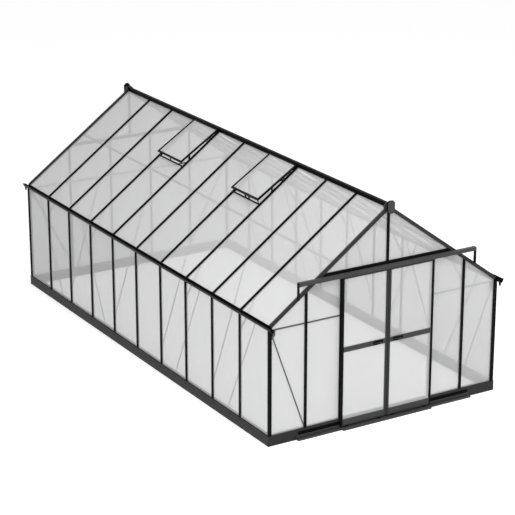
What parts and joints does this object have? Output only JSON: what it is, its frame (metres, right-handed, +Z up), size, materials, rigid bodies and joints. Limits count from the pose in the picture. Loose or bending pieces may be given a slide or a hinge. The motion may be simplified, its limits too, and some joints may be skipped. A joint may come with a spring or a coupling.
{
  "type": "polycarbonate greenhouse",
  "caption": "Walk-in garden greenhouse with a gabled roof, clear twin-wall sheets in a dark bar frame, ajar roof vents and sliding double doors.",
  "frame": {"origin": "middle of the footprint, on the ground under the base rails", "axes": "+X across the gables to the right seen from the door side, +Y along the house from the door gable to the back gable, +Z up"},
  "size_m": [3.13, 6.286, 2.577],
  "materials": {
    "frame_bar": "black powder coat on aluminium bars",
    "base_steel": "black powder coat on folded steel",
    "track": "black powder coat on the door tracks",
    "gutter": "black powder coat on the gutters",
    "brace": "black coated flat bracing",
    "fitting": "black moulded handles, hangers and rollers",
    "sheet": "frosted twin-wall polycarbonate"
  },
  "bodies": {
    "greenhouse": {"base_sides": "base_steel", "base_front": "base_steel", "base_back": "base_steel", "posts_left": "frame_bar", "posts_right": "frame_bar", "corner_posts": "frame_bar", "eave_beams": "frame_bar", "gutter_left": "gutter", "gutter_right": "gutter", "ridge_beam": "frame_bar", "ridge_ends": "frame_bar", "roof_bars_left": "frame_bar", "roof_bars_right": "frame_bar", "gable_rafters": "frame_bar", "purlins": "brace", "wall_sheets_left": "sheet", "wall_sheets_right": "sheet", "roof_sheets_left": "sheet", "roof_sheets_right": "sheet", "gable_sheets_front": "sheet", "gable_sheets_back": "sheet", "gable_posts_front": "frame_bar", "gable_posts_back": "frame_bar", "door_header": "frame_bar", "gable_ties": "brace", "wall_braces": "brace", "gable_braces": "brace", "knee_braces": "brace", "vent_stiles": "frame_bar", "vent_rails": "frame_bar", "vent_sheets": "sheet", "vent_sills": "frame_bar", "vent_stays": "frame_bar", "top_track": "track", "track_brackets": "frame_bar", "bottom_track": "track", "door_sill": "track"},
    "door_left": {"leaf_left_stiles": "frame_bar", "leaf_left_rails": "frame_bar", "leaf_left_sheets": "sheet", "leaf_left_fittings": "fitting"},
    "door_right": {"leaf_right_stiles": "frame_bar", "leaf_right_rails": "frame_bar", "leaf_right_sheets": "sheet", "leaf_right_fittings": "fitting"}
  },
  "joints": [
    {"name": "door_left_slide", "type": "slide", "parent": "greenhouse", "child": "door_left", "axis": [-1, 0, 0], "range_m": [0, 0.55]},
    {"name": "door_right_slide", "type": "slide", "parent": "greenhouse", "child": "door_right", "axis": [1, 0, 0], "range_m": [0, 0.55]}
  ]
}
